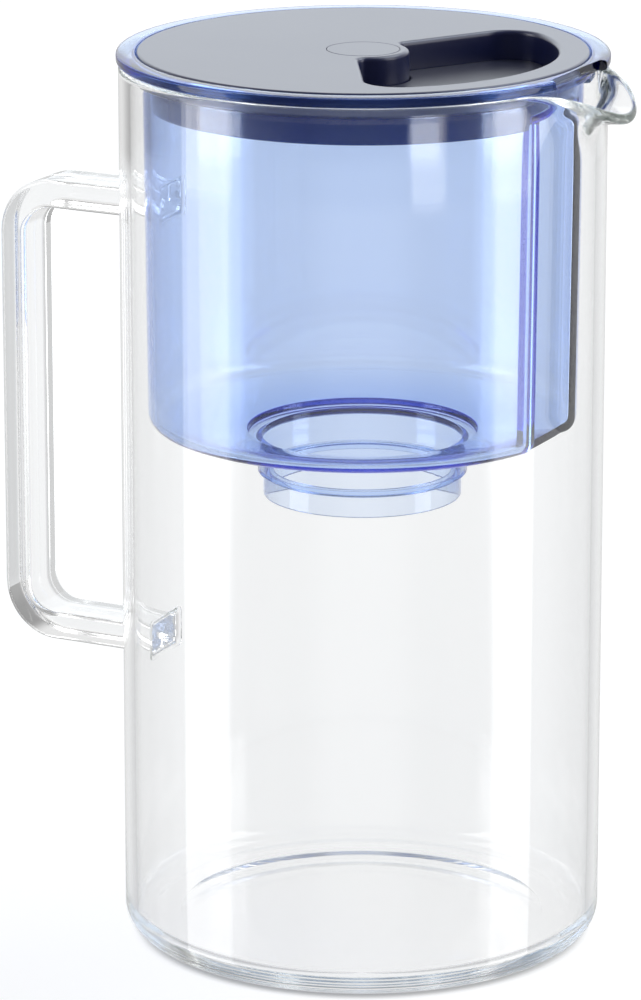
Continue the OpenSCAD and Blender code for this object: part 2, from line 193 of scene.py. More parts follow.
def tube(path: Array, radius: float, sides: int, up: Sequence[float]) -> Array:
    """Carry a circle along a path whose direction is never along up.

    The ring at each point lies in the plane of b = up x tangent and tangent x b.

    Args:
        path: Points in three coordinates.
        radius: Radius of the wire.
        sides: Points round it.
        up: A direction that the path never takes.

    Returns:
        Rings, as an array of path points by sides by three coordinates.
    """
    tangent = np.gradient(path, axis=0)
    tangent /= np.linalg.norm(tangent, axis=1)[:, None]
    side = np.cross(np.array(up, float), tangent)
    side /= np.linalg.norm(side, axis=1)[:, None]
    top = np.cross(tangent, side)
    a = full_turn(sides)[None, :, None]
    return path[:, None] + radius * (np.cos(a) * side[:, None] + np.sin(a) * top[:, None])


def triangles(loops: Sequence[Array], up: bool = True) -> Array:
    """Fill a flat outline with holes. Twice a triangle's area, d1 x d2, tells which way it turns.

    Args:
        loops: Points (x, y): the outer edge, then each hole.
        up: Whether the triangles turn anticlockwise.

    Returns:
        Three indices for each triangle, into the loops laid end to end.
    """
    flat = [[Vector((x, y, 0.0)) for x, y in loop] for loop in loops]
    tris = np.array(tessellate_polygon(flat), int)
    p = np.concatenate(loops)[tris]
    d1, d2 = p[:, 1] - p[:, 0], p[:, 2] - p[:, 0]
    flip = (d1[:, 0] * d2[:, 1] - d1[:, 1] * d2[:, 0] < 0) == up
    tris[flip] = tris[flip][:, ::-1]
    return tris


def shown(name: str, data: Any, sharp: float | None = None) -> Object:
    """Put a mesh, lamp or camera into the scene.

    Args:
        name: Name of the object.
        data: The mesh, lamp or camera.
        sharp: For a mesh, the angle in degrees above which an edge stays sharp.

    Returns:
        The object, at the origin.
    """
    if sharp is not None:
        data.shade_smooth()
        data.set_sharp_from_angle(angle=math.radians(sharp))
        data.update()
    obj = bpy.data.objects.new(name, data)
    bpy.context.scene.collection.objects.link(obj)
    return obj


@dataclass
class Skin:
    """A mesh in the making: rings of points, the strips between them and flat fills.

    Attributes:
        points: Blocks of points in millimetres.
        faces: Lists of corner indices.
        size: Number of points so far.
    """

    points: list[Array] = field(default_factory=list)
    faces: list[list[int]] = field(default_factory=list)
    size: int = 0

    def ring(self, points: Array) -> Array:
        """Add points.

        Args:
            points: An array whose last axis holds three coordinates.

        Returns:
            Their indices, in the shape of the other axes.
        """
        shape = points.shape[:-1]
        count = int(np.prod(shape))
        self.points.append(points.reshape(-1, 3))
        self.size += count
        return np.arange(self.size - count, self.size).reshape(shape)

    def strips(self, rows: Array, wrap_rows: bool = False) -> None:
        """Join rows of indices by quads; each row is closed on itself.

        Args:
            rows: Indices, rows by columns.
            wrap_rows: Whether the last row joins the first.
        """
        if wrap_rows:
            rows = np.concatenate([rows, rows[:1]])
        nxt = np.roll(rows, -1, axis=1)
        quads = np.stack([rows[:-1], nxt[:-1], nxt[1:], rows[1:]], axis=2)
        self.faces += quads.reshape(-1, 4).tolist()

    def fan(self, row: Array, tip: Array, forward: bool) -> None:
        """Close a row by triangles to one point.

        Args:
            row: Indices of the row.
            tip: The point.
            forward: The way round.
        """
        top = int(self.ring(tip[None])[0])
        a, b = (row, np.roll(row, -1)) if forward else (np.roll(row, -1), row)
        self.faces += np.stack([a, b, np.full_like(row, top)], axis=1).tolist()

    def fill(self, rows: Sequence[Array], up: bool) -> None:
        """Fill a flat face at one height, whose holes are the later rows.

        Args:
            rows: Index rows: the outer edge, then each hole.
            up: Whether the face looks up.
        """
        flat = np.concatenate(self.points)[:, :2]
        self.faces += np.concatenate(rows)[triangles([flat[row] for row in rows], up)].tolist()

    def tab(self, outline: Array, hole: Array, ys: Sequence[float]) -> None:
        """Carry an outline with one hole along Y.

        Args:
            outline: Points (x, z), anticlockwise.
            hole: Points (x, z), anticlockwise.
            ys: Where it starts and ends.
        """
        rows = []
        for loop, step in ((outline, 1), (hole, -1)):
            rows.append(self.ring(np.stack([np.insert(loop, 1, y, axis=1) for y in ys])))
            self.strips(rows[-1][:, ::step])
        near, far = np.concatenate(rows, axis=1)
        tris = triangles([outline, hole])
        self.faces += near[tris].tolist() + far[tris][:, ::-1].tolist()

    def skin(self, rings: Array, start: End = End.FLAT, end: End = End.FLAT) -> None:
        """Add a tube-like surface over rings that have the same number of points.

        Args:
            rings: Rings by points by three coordinates.
            start: How the first ring is closed.
            end: How the last ring is closed.
        """
        rows = self.ring(rings[1 if start is End.POINT else 0 : -1 if end is End.POINT else None])
        self.strips(rows)
        for how, k, forward in ((start, 0, False), (end, -1, True)):
            if how is End.POINT:
                self.fan(rows[k], rings[k].mean(axis=0), forward)
            else:
                self.faces.append(rows[k].tolist() if forward else rows[k][::-1].tolist())

    def build(self, name: str, sharp: float = 38.0) -> Object:
        """Make the Blender object, with its faces pointing outwards.

        The sign of the volume tells: it is the sum over triangles of a . (b x c), over six.

        Args:
            name: Name of the object.
            sharp: Angle in degrees above which an edge stays sharp.

        Returns:
            The object, at the origin.
        """
        co = np.concatenate(self.points) * MM
        faces = self.faces
        volume = 0.0
        for size in {len(f) for f in faces}:
            group = np.array([f for f in faces if len(f) == size])
            a, others = co[group[:, 0]], co[group[:, 1:]]
            cross = np.cross(others[:, :-1], others[:, 1:])
            volume += float(np.einsum("ij,ikj->", a, cross))
        if volume < 0:
            faces = [f[::-1] for f in faces]
        mesh = bpy.data.meshes.new(name)
        mesh.from_pydata(co.tolist(), [], faces)
        mesh.validate()
        return shown(name, mesh, sharp)


def joined(name: str, base: Object, tool: Object, sharp: float) -> Object:
    """Fuse two closed objects into one closed surface.

    Args:
        name: Name of the result.
        base: The first object, used up.
        tool: The second object, used up.
        sharp: Angle in degrees above which an edge stays sharp.

    Returns:
        The fused object.
    """
    mod = base.modifiers.new("fuse", "BOOLEAN")
    mod.operation, mod.solver, mod.object = "UNION", "MANIFOLD", tool
    graph = bpy.context.evaluated_depsgraph_get()
    mesh = bpy.data.meshes.new_from_object(base.evaluated_get(graph))
    mesh.name = name
    obj = shown(name, mesh, sharp)
    for used in (base, tool):
        bpy.data.objects.remove(used)
    return obj


# ---------------------------------------------------------------- shader maths


def operator(kind: str, swapped: bool = False) -> Callable[["Sock", Any], "Sock"]:
    """Make a method of Sock that adds one Math node.

    Args:
        kind: The node's operation.
        swapped: Whether the socket itself is the second value.

    Returns:
        The method.
    """

    def apply(self: "Sock", other: Any) -> "Sock":
        """Add the node and wrap its output."""
        a, b = (other, self) if swapped else (self, other)
        return self.graph.add("ShaderNodeMath", {"operation": kind}, {0: a, 1: b})

    return apply


class Sock:
    """A node's output that Python's operators turn into Math nodes."""

    def __init__(self, graph: "Graph", socket: bpy.types.NodeSocket | None) -> None:
        """Wrap a socket of a graph.

        Args:
            graph: The node tree that later nodes go into.
            socket: The output, or None for a node without one.
        """
        self.graph = graph
        self.socket = socket

    __add__ = __radd__ = operator("ADD")
    __mul__ = __rmul__ = operator("MULTIPLY")
    __sub__, __rsub__ = operator("SUBTRACT"), operator("SUBTRACT", True)
    __truediv__, __rtruediv__ = operator("DIVIDE"), operator("DIVIDE", True)
    __pow__ = operator("POWER")
    greater, most = operator("GREATER_THAN"), operator("MAXIMUM")

    def sibling(self, name: str) -> "Sock":
        """Another output of the same node."""
        return Sock(self.graph, self.socket.node.outputs[name])


class Graph:
    """The node tree of one material or world."""

    def __init__(self, owner: bpy.types.Material | bpy.types.World) -> None:
        """Empty the owner's node tree and hold it.

        Args:
            owner: The material or world.
        """
        owner.use_nodes = True
        self.tree = owner.node_tree
        self.tree.nodes.clear()

    def add(
        self,
        kind: str,
        settings: Mapping[str, Any] | None = None,
        inputs: Mapping[Any, Any] | None = None,
        out: int | str = 0,
    ) -> Sock:
        """Add a node, set it up, then fill its sockets.

        Args:
            kind: The node's type.
            settings: Its own settings.
            inputs: Values or sockets by input name or index.
            out: Name or index of the output to return.

        Returns:
            The wrapped output.
        """
        node = self.tree.nodes.new(kind)
        for key, value in (settings or {}).items():
            setattr(node, key, value)
        for key, value in (inputs or {}).items():
            if isinstance(value, Sock):
                self.tree.links.new(value.socket, node.inputs[key])
            else:
                node.inputs[key].default_value = value
        return Sock(self, node.outputs[out] if len(node.outputs) else None)

    def noise(self, scale: float, detail: float, stretch: Sequence[float] = (1, 1, 1)) -> Sock:
        """Smooth noise about 0.5 on Object coordinates.

        Args:
            scale: Cells per metre.
            detail: Octaves.
            stretch: Factor on each axis.

        Returns:
            The value.
        """
        place = self.add("ShaderNodeTexCoord", out="Object")
        place = self.add("ShaderNodeMapping", {}, {"Vector": place, "Scale": stretch})
        values = {"Vector": place, "Scale": scale, "Detail": detail, "Roughness": 0.55}
        return self.add("ShaderNodeTexNoise", {}, values)

    def bump(self, height: Sock, distance: float) -> Sock:
        """A normal bent by a height, where a height of 1 is that many metres deep."""
        values = {"Height": height, "Strength": 1.0, "Distance": distance}
        return self.add("ShaderNodeBump", {}, values)

    def blend(self, factor: Sock, a: Sequence[float], b: Sequence[float]) -> Sock:
        """Mix two colours, where a factor of 0 gives a and 1 gives b."""
        values = {0: factor, 6: (*a, 1.0), 7: (*b, 1.0)}
        return self.add("ShaderNodeMix", {"data_type": "RGBA"}, values, 2)


def smooth_edge(value: Sock, low: float, high: float) -> Sock:
    """Rise smoothly from 0 where the value is low to 1 where it is high."""
    ends = {"Value": value, "From Min": low, "From Max": high, "To Min": 0.0, "To Max": 1.0}
    return value.graph.add("ShaderNodeMapRange", {"interpolation_type": "SMOOTHSTEP"}, ends)


@dataclass(frozen=True)
class BaseFinish:
    """What all finishes share: a name and the making of the material."""

    name: str

    def wire(self, g: Graph) -> dict[str, Sock]:
        """Build the nodes and return what goes into the material's output."""
        raise NotImplementedError

    def material(self) -> bpy.types.Material:
        """Build the material.

        Returns:
            The material.
        """
        mat = bpy.data.materials.new(self.name)
        g = Graph(mat)
        g.add("ShaderNodeOutputMaterial", {}, self.wire(g))
        return mat


@dataclass(frozen=True)
class ClearFinish(BaseFinish):
    """Clear glass or clear plastic that lets lamps and soft light through.

    Attributes:
        face: What each wall's two faces let through of each colour.
        absorb: How fast the bulk dims each colour, per metre.
        ior: Index of refraction.
        roughness: Least roughness.
        smudge: Added roughness where the surface is a little dull.
        wave: Depth in metres of the slow waves in the surface.
        wave_scale: Waves per metre.
        stretch: How the waves are drawn out along the axes.
    """

    face: Colour
    absorb: Colour
    ior: float
    roughness: float
    smudge: float
    wave: float
    wave_scale: float
    stretch: tuple[float, float, float]

    def wire(self, g: Graph) -> dict[str, Sock]:
        """Build the nodes. Each face lets through the square root of the wall's share.

        The volume node dims a colour by density * (1 - its colour), so its colour is
        1 - absorb / density.

        Args:
            g: The graph to work in.

        Returns:
            The surface and the volume.
        """
        waves = g.noise(self.wave_scale, 1.5, self.stretch)
        dull = smooth_edge(g.noise(38.0, 3.0), 0.48, 0.75)
        values = {
            "Base Color": (*self.face, 1.0),
            "Roughness": dull * self.smudge + self.roughness,
            "IOR": self.ior,
            "Transmission Weight": 1.0,
            "Normal": g.bump(waves, self.wave),
        }
        body = g.add("ShaderNodeBsdfPrincipled", {}, values)
        face = (*(c**0.5 for c in self.face), 1.0)
        through = g.add("ShaderNodeBsdfTransparent", {}, {"Color": face})
        shadow = g.add("ShaderNodeLightPath", out="Is Shadow Ray")
        for kind in (shadow.sibling("Is Diffuse Ray"), shadow):
            body = g.add("ShaderNodeMixShader", {}, {0: kind, 1: body, 2: through})
        density = max(self.absorb) * 1.05
        colour = (*(1.0 - a / density for a in self.absorb), 1.0)
        bulk = g.add("ShaderNodeVolumeAbsorption", {}, {"Color": colour, "Density": density})
        return {"Surface": body, "Volume": bulk}


@dataclass(frozen=True)
class MouldedFinish(BaseFinish):
    """Opaque moulded plastic with a fine spark-eroded or polished surface.

    Attributes:
        colour: Its colour.
        faded: The colour of its slightly lighter clouds.
        roughness: Mean roughness.
        spread: How far the roughness wanders.
        coat: Weight of the clear top layer that carries the shine at a low angle.
        coat_roughness: Roughness of that layer.
        grain: Depth in metres of the fine texture.
        grain_scale: Grains per metre.
    """

    colour: Colour
    faded: Colour
    roughness: float
    spread: float
    coat: float
    coat_roughness: float
    grain: float
    grain_scale: float

    def wire(self, g: Graph) -> dict[str, Sock]:
        """Build the nodes: clouds and half as much of the fine grain sway the roughness.

        Args:
            g: The graph to work in.

        Returns:
            The surface.
        """
        clouds = g.noise(16.0, 4.0)
        fine = g.noise(self.grain_scale, 2.0)
        normal = g.bump(fine, self.grain)
        base = g.blend(clouds, self.colour, self.faded)
        sway = (clouds - 0.5) * self.spread + (fine - 0.5) * (self.spread * 0.5)
        values = {
            "Base Color": base,
            "Roughness": sway + self.roughness,
            "IOR": 1.5,
            "Coat Weight": self.coat,
            "Coat Roughness": self.coat_roughness,
            "Normal": normal,
        }
        return {"Surface": g.add("ShaderNodeBsdfPrincipled", {}, values)}


@dataclass(frozen=True)
class WireFinish(BaseFinish):
    """Drawn stainless steel with fine marks along the wire."""

    colour: Colour
    roughness: float

    def wire(self, g: Graph) -> dict[str, Sock]:
        """Build the nodes: the marks are darker and rougher by turns.

        Args:
            g: The graph to work in.

        Returns:
            The surface.
        """
        marks = g.noise(900.0, 3.0, (1.0, 6.0, 1.0))
        darker = tuple(c * 0.82 for c in self.colour)
        values = {
            "Base Color": g.blend(marks, darker, self.colour),
            "Metallic": 1.0,
            "Roughness": (marks - 0.5) * 0.2 + self.roughness,
            "Normal": g.bump(marks, 0.00001),
        }
        return {"Surface": g.add("ShaderNodeBsdfPrincipled", {}, values)}


class Finish(Enum):
    """The finishes of the pitcher. Each is named after its slot in the record."""

    GLASS = ClearFinish(
        "clear_glass", (1.0, 1.0, 1.0), (0.45, 0.38, 0.42), 1.473, 0.0, 0.012, 0.00005, 26.0,
        (1.0, 1.0, 0.22),
    )
    TINTED = ClearFinish(
        "blue_clear_plastic", (1.0, 1.0, 1.0), (166.0, 106.0, 12.0), 1.47, 0.012, 0.03, 0.00003,
        30.0, (1.0, 1.0, 0.5),
    )
    SEAL = ClearFinish(
        "soft_seal", (0.95, 0.95, 0.96), (60.0, 55.0, 45.0), 1.41, 0.28, 0.1, 0.00001, 300.0,
        (1.0, 1.0, 1.0),
    )
    SATIN = MouldedFinish(
        "satin_navy", (0.013, 0.019, 0.092), (0.017, 0.024, 0.106), 0.34, 0.06, 0.75, 0.3,
        0.000006, 5200.0,
    )
    # The flap's navy is a lighter, greyer copy of the plate's satin navy: part of the flap's sheen
    # is painted into its colour.
    FLAP = MouldedFinish(
        "flap_navy", (0.028, 0.032, 0.066), (0.036, 0.04, 0.08), 0.36, 0.06, 0.75, 0.32,
        0.000006, 5200.0,
    )
    GLOSS = MouldedFinish(
        "gloss_navy", (0.006, 0.045, 0.3), (0.008, 0.05, 0.33), 0.08, 0.03, 1.0, 0.03,
        0.000002, 700.0,
    )
    STEEL = WireFinish("steel", (0.62, 0.62, 0.64), 0.24)


class Paint:
    """Hands out one material for each finish and ties the pieces to the part."""

    def __init__(self) -> None:
        """Start with no materials."""
        self.made: dict[Finish, bpy.types.Material] = {}

    def settle(self, obj: Object, finish: Finish, body: str, *nodes: str) -> None:
        """Dress a piece and tie it to its body and the nodes that it stands for.

        Args:
            obj: The piece.
            finish: Its finish, which is named after the slot.
            body: Name of the body that it moves with.
            *nodes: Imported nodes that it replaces.
        """
        if finish not in self.made:
            self.made[finish] = finish.value.material()
        obj.data.materials.clear()
        obj.data.materials.append(self.made[finish])
        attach(obj, body)
        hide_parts(*nodes)
        log.info("%s rides on %s: %d faces", obj.name, body, len(obj.data.polygons))


# ---------------------------------------------------------------- the jug


@dataclass
class Jug:
    """The glass jug with its pulled spout and its fused bar handle."""

    radius: float = 62.5
    height: float = 231.6
    wall: float = 3.0
    base: float = 5.0
    corner: float = 7.0
    foot: float = 7.5
    push_up: float = 1.4
    floor_rise: float = 0.7
    spout_reach: float = 12.6
    spout_drop: float = 6.5
    spout_half_angle: float = 25.5
    spout_depth: float = 22.0
    spout_thin: float = 0.15
    handle_reach: float = 41.1
    handle_height: float = 125.8
    handle_drop: float = 38.5
    handle_thick: float = 7.5
    handle_wide: float = 15.6
    handle_corner: float = 15.0
    handle_edge: float = 1.4
    weld: float = 1.7
    weld_sink: float = 1.2

    def angles(self) -> Array:
        """Step round the jug, closer together at the spout.

        Returns:
            The angles in radians.
        """
        edge = self.spout_half_angle + 2.0
        near = np.linspace(-edge, edge, 131)[:-1]
        far = np.linspace(edge, 360.0 - edge, 211)[:-1]
        return np.radians(np.concatenate([near, far]))

    def spout(self, a: Array, t: Array) -> tuple[Array, Array, Array]:
        """Middle line of the upper wall in each half plane, as a cubic Bezier curve.

        With w = cos^2 of the angle stretched to 90 degrees at the spout's edge, the lip's reach is
        w^1.05 of the full reach and its drop w^2.2 of the full drop. Away from the spout the curve
        is a straight line.

        Args:
            a: Angles in radians.
            t: Parameters from 0 at the foot of the spout to 1 at the lip.

        Returns:
            The points (r, z), the outward normals and the half thicknesses, t by a.
        """
        middle, top = self.radius - self.wall / 2, self.height - self.wall / 2
        low = self.height - self.spout_depth
        signed = np.degrees((a + np.pi) % (2 * np.pi) - np.pi)
        w = np.cos(np.radians(90 * np.minimum(1, np.abs(signed) / self.spout_half_angle))) ** 2
        reach, drop = w**1.05, w**2.2
        lip = np.stack([middle + self.spout_reach * reach, top - self.spout_drop * drop])
        third = [low + (top - low) * k / 3 for k in (1, 2)]
        bottom = np.stack([0 * a + middle, 0 * a + low])
        rise = np.stack([0 * a + middle, third[0] + (lip[1] - 1.5 - third[0]) * reach])
        flare = np.stack([middle + 2 * reach, third[1] + (lip[1] - 1.0 - third[1]) * reach])
        poles = np.stack([bottom, rise, flare, lip])
        s = 1 - t
        weight = np.stack([s**3, 3 * t * s * s, 3 * t * t * s, t**3], axis=1)
        line = np.einsum("tk,kca->tac", weight, poles)
        weight = np.stack([s * s, 2 * t * s, t * t], axis=1)
        along = np.einsum("tk,kca->tac", weight, np.diff(poles, axis=0))
        along /= np.linalg.norm(along, axis=2)[:, :, None]
        normal = np.stack([along[..., 1], -along[..., 0]], axis=2)
        half = self.wall / 2 - self.spout_thin * t[:, None] * reach[None]
        return line, normal, half

    def vessel(self) -> Skin:
        """The jug's wall, base and spout.

        Each half plane through the axis holds one closed profile, from the middle of the underside
        over the foot ring, up the outside, over the half-round lip, down the inside and back to
        the middle of the base. The underside rises as 1 - (r / ring)^4, the floor as 1 - r / edge.

        Returns:
            The skin.
        """
        a, levels = self.angles(), (30, 60, 100, 140, 180, 205)
        foot_r = self.radius - self.corner
        ring_r = foot_r - self.foot
        r = ring_r * np.linspace(0, 1, 12)[:-1]
        under = np.stack([r, self.push_up * (1 - (r / ring_r) ** 4)], axis=1)
        foot = rounded([(ring_r - 1.6, 0.19, 0), (ring_r, 0, 0.7), (foot_r, 0, 0)], closed=False)
        bottom = arc((foot_r, self.corner), self.corner, -84, 0, 14)
        outer = np.concatenate([under[:-1], foot, bottom, [[self.radius, z] for z in levels]])
        line, normal, half = self.spout(a, np.linspace(0, 1, 30))
        out_side = line + half[..., None] * normal
        in_side = (line - half[..., None] * normal)[::-1]
        b = np.radians(np.linspace(0, 180, 13))[1:-1, None, None]
        along = np.stack([-normal[-1, :, 1], normal[-1, :, 0]], axis=1)
        lip = line[-1] + half[-1][None, :, None] * (np.cos(b) * normal[-1] + np.sin(b) * along)
        upper = np.concatenate([out_side, lip, in_side])
        inner_r, bend = self.radius - self.wall, self.corner - self.wall
        edge = inner_r - bend
        curve = arc((edge, self.base + bend), bend, 0, -90, 14)
        floor = [[r, self.base + self.floor_rise * (1 - r / edge)] for r in (44, 34, 24, 14, 5, 0)]
        inner = np.concatenate([[[inner_r, z] for z in levels[::-1]], curve, floor])
        rows = [lathe(outer, a), turned(upper[..., 0], upper[..., 1], a), lathe(inner, a)]
        skin = Skin()
        skin.skin(np.concatenate(rows), End.POINT, End.POINT)
        return skin

    def handle(self) -> Skin:
        """The bar: a rounded rectangle carried along a C.

        The section has round edges, with a point just beyond each end of an edge that keeps the
        flats flat. Near the wall it grows by weld * (1 - sqrt(1 - (1 - s/weld)^2)) at the distance
        s, as melted glass does.

        Returns:
            The skin.
        """
        top = self.height - self.handle_drop - self.handle_thick / 2
        low = top - self.handle_height + self.handle_thick
        bend = self.handle_corner - self.handle_thick / 2
        far = self.radius + self.handle_reach - self.handle_thick / 2
        quarter = np.radians(np.linspace(0, 90, 9))
        start = np.concatenate(
            [[-self.weld_sink], self.weld * (1 - np.cos(quarter)), [4.0, 9.0, 16.0]]
        )
        arm = np.stack([self.radius + start, np.full_like(start, top), 0 * start], axis=1)
        curve = arc((far - bend, top - bend), bend, 90, 0, 19)
        upper = np.column_stack([curve, np.linspace(0, 90, 19)])
        grip_z = np.linspace(top - bend, low + bend, 9)[1:-1]
        grip = np.stack([np.full_like(grip_z, far), grip_z, np.full_like(grip_z, 90.0)], axis=1)
        lower = upper[::-1] * [1, -1, -1] + [0, top + low, 180]
        back = arm[::-1] * [1, -1, 1] + [0, top + low, 180]
        route = np.concatenate([arm, upper, grip, lower, back])
        s = np.clip(route[:, 0] - self.radius, 0, None)
        share = np.clip(1 - s / self.weld, 0, 1)
        grow = self.weld * (1 - np.sqrt(np.clip(1 - share**2, 0, 1)))
        r, beyond = self.handle_edge, 0.4
        edge = np.concatenate([[r - beyond * 1j], r * np.exp(1j * quarter), [r * 1j - beyond]])
        section = (np.array([[1], [1j], [-1], [-1j]]) * edge).ravel()
        side = np.repeat([1 + 1j, -1 + 1j, -1 - 1j, 1 - 1j], len(edge))
        u = section.real + side.real * (self.handle_thick / 2 - r + grow)[:, None]
        v = section.imag + side.imag * (self.handle_wide / 2 - r + grow)[:, None]
        lean = np.radians(route[:, 2])[:, None]
        x = -(route[:, :1] + u * np.sin(lean))
        z = route[:, 1:2] + u * np.cos(lean)
        skin = Skin()
        skin.skin(np.stack([x, v, z], axis=2))
        return skin

    def build(self, paint: Paint) -> None:
        """Make the fused glass and dress it."""
        glass = joined("jug_glass", self.vessel().build("vessel"), self.handle().build("bar"), 50.0)
        paint.settle(glass, Finish.GLASS, "jug", "glass_body", "glass_handle")


# ---------------------------------------------------------------- the reservoir


@dataclass
class Reservoir:
    """The tinted reservoir that hangs on the rim, with its seat and pouring recess."""

    rim: float = 231.9
    top: float = 234.5
    flange_r: float = 63.08
    locating_r: float = 58.9
    neck_r: float = 56.3
    neck_z: float = 229.8
    wall: float = 1.8
    ledge_r: float = 58.1
    ledge_z: float = 231.6
    tub_r: float = 55.5
    tub_z: float = 137.0
    corner: float = 4.5
    seat_z: float = 134.0
    seat_r: float = 26.0
    seat_len: float = 8.8
    seat_ledge: float = 2.8
    collar_r: float = 27.25
    collar_base: float = 124.2
    step_r: float = 25.75
    end_wall: float = 1.25
    end_z: float = 118.0
    ring_r: float = 29.7
    recess_half: float = 12.0
    recess_wall: float = 1.5
    recess_roof: float = 222.9
    recess_top_x: float = 51.3
    draft: float = 0.8
    cut_x: float = 59.2
    cut_half: float = 15.0

    def drafted(self, inside: bool, *heights: float) -> list[list[float]]:
        """Points (r, z) of the wall, whose radius grows evenly from the tub's corner to the neck.

        Args:
            inside: Whether they lie on the inside.
            *heights: Their heights.

        Returns:
            The points.
        """
        low, inset = self.tub_z + self.corner, self.wall if inside else 0
        shares = [(z - low) / (self.neck_z - low) for z in heights]
        return [[self.tub_r + self.draft * s - inset, z] for s, z in zip(shares, heights)]

    def profile(self) -> tuple[Array, Array]:
        """The closed profile, up the outside and down the inside.

        Returns:
            The points (r, z), and 1 for each point of the inside or 0 for one of the outside.
        """
        bend = self.corner - self.wall
        r, z = self.tub_r - self.corner, self.tub_z + self.corner
        low, floor = self.seat_z - self.wall, self.seat_z - self.seat_len
        step, end, seat = self.step_r - self.end_wall, self.end_z, self.seat_r - self.seat_ledge
        heights = (150, 165, 180, 195, 208, 218)
        fine = 0.15 * np.arange(13) - 0.9
        foot = [
            (step, end, 0), (self.step_r, end, 0.45), (self.step_r, self.collar_base, 0.25),
            (self.collar_r, self.collar_base, 0.45), (self.collar_r, low, 0.6),
            (self.ring_r + 0.2, low, 1.2), (r + 0.39, self.tub_z + 0.02, 0),
        ]
        flange = [
            (*self.drafted(False, 226.5)[0], 0), (self.neck_r, self.neck_z, 0.3),
            (self.locating_r, self.neck_z, 0.4), (self.locating_r, self.rim, 0.3),
            (self.flange_r, self.rim, 0.8), (self.flange_r, self.top, 0.8),
            (self.ledge_r, self.top, 0.5), (self.ledge_r, self.ledge_z + 1.3, 0),
        ]
        ledge = [
            (self.ledge_r, self.ledge_z + 1.2, 0), (self.ledge_r, self.ledge_z, 0.3),
            (self.neck_r - self.wall, self.ledge_z, 0.5), (*self.drafted(True, 228.0)[0], 0),
        ]
        seating = [
            (r + 0.2, z - bend + 0.01, 0), (self.ring_r, self.seat_z + 1.6, 0.5),
            (self.ring_r, self.seat_z, 0.3), (self.seat_r, self.seat_z, 0.4),
            (self.seat_r, floor, 0.2), (seat, floor, 0.3), (seat, floor - 1.8, 0.3),
            (step, floor - 1.8, 0.2), (step, end, 0.3), (self.step_r, end, 0),
        ]
        outside = [
            rounded(foot, closed=False, n=6)[1:],
            arc((r, z), self.corner, -80, 0, 13),
            self.drafted(False, *heights, *(self.recess_roof + fine), 226),
            rounded(flange, closed=False, n=6),
        ]
        inner_roof = self.recess_roof + self.recess_wall
        inside = [
            rounded(ledge, closed=False, n=6),
            self.drafted(True, 226.5, *(inner_roof - fine), *heights[::-1]),
            arc((r, z), bend, 0, -80, 13),
            rounded(seating, closed=False)[:-1],
        ]
        outside, inside = np.concatenate(outside), np.concatenate(inside)
        side = np.concatenate([np.zeros(len(outside)), np.ones(len(inside))])
        return np.concatenate([outside, inside]), side

    def rings(self) -> Array:
        """Turn the profile, then press in the recess and cut the flange flat above the spout.

        A point ahead of a flat at x = f moves to it: x becomes x - m * max(x - f, 0), where m is a
        smooth step from 1 to 0 across the recess's side and roof. Columns lie on lines of equal y
        near the recess, so that its sides stay straight.

        Returns:
            Rings by points by three coordinates.
        """
        profile, inside = self.profile()
        r, z, inside = profile[:, 0, None], profile[:, 1, None], inside[:, None]
        y = spaced([0, 8, 10.8, 14.4, 14.6, 15.4, 20], [4, 3, 36, 1, 8, 5])
        y = np.concatenate([-y[::-1], y[1:-1]])
        gap = np.arcsin(y[0] / -r)
        a = gap + (2 * np.pi - 2 * gap) * np.linspace(0, 1, 221)[None, :-1]
        a = np.concatenate([np.arcsin(y[None] / r), a], axis=1)
        x, yy = r * np.cos(a), r * np.sin(a)
        half = self.recess_half + inside * self.recess_wall
        roof = self.recess_roof + inside * self.recess_wall
        tilt = self.draft / (self.recess_roof - self.tub_z)
        flat = self.recess_top_x - (self.recess_roof - z) * tilt - inside * self.recess_wall
        mask = smooth_step(half + 0.5 - np.abs(yy)) * smooth_step(roof + 0.5 - z)
        x = np.where(x > 0, x - mask * np.clip(x - flat, 0, None), x)
        mask = smooth_step((self.cut_half + 0.3 - np.abs(yy)) / 0.6) * (z > self.neck_z - 0.5)
        x = np.where(x > 0, x - mask * np.clip(x - self.cut_x, 0, None), x)
        return np.stack([x, yy, z + 0 * x], axis=2)

    def seal(self) -> Skin:
        """The soft ring below the locating step, open above the recess: a profile turned about Z.

        Returns:
            The skin.
        """
        z, neck, out = self.neck_z, self.neck_r + 0.05, self.locating_r
        shape = [
            (neck, z - 0.02, 0), (neck, z - 1.3, 0.2), (out + 0.2, z - 0.95, 0.25),
            (out + 0.28, z - 0.45, 0.2), (out, z - 0.02, 0.1),
        ]
        r, h = rounded(shape, n=4).T[:, None]
        gap = math.asin((self.recess_half + 1.0) / self.locating_r)
        skin = Skin()
        skin.skin(turned(r, h, np.linspace(gap, 2 * math.pi - gap, 200)[:, None]))
        return skin

    def build(self, paint: Paint) -> None:
        """Make the reservoir and its seal and dress them.

        Args:
            paint: Hands out the materials.
        """
        skin = Skin()
        skin.strips(skin.ring(self.rings()), wrap_rows=True)
        tub = skin.build("reservoir_shell", 32.0)
        paint.settle(tub, Finish.TINTED, "reservoir", "reservoir")
        paint.settle(self.seal().build("rim_seal_ring"), Finish.SEAL, "reservoir", "rim_seal")


# ---------------------------------------------------------------- the lid


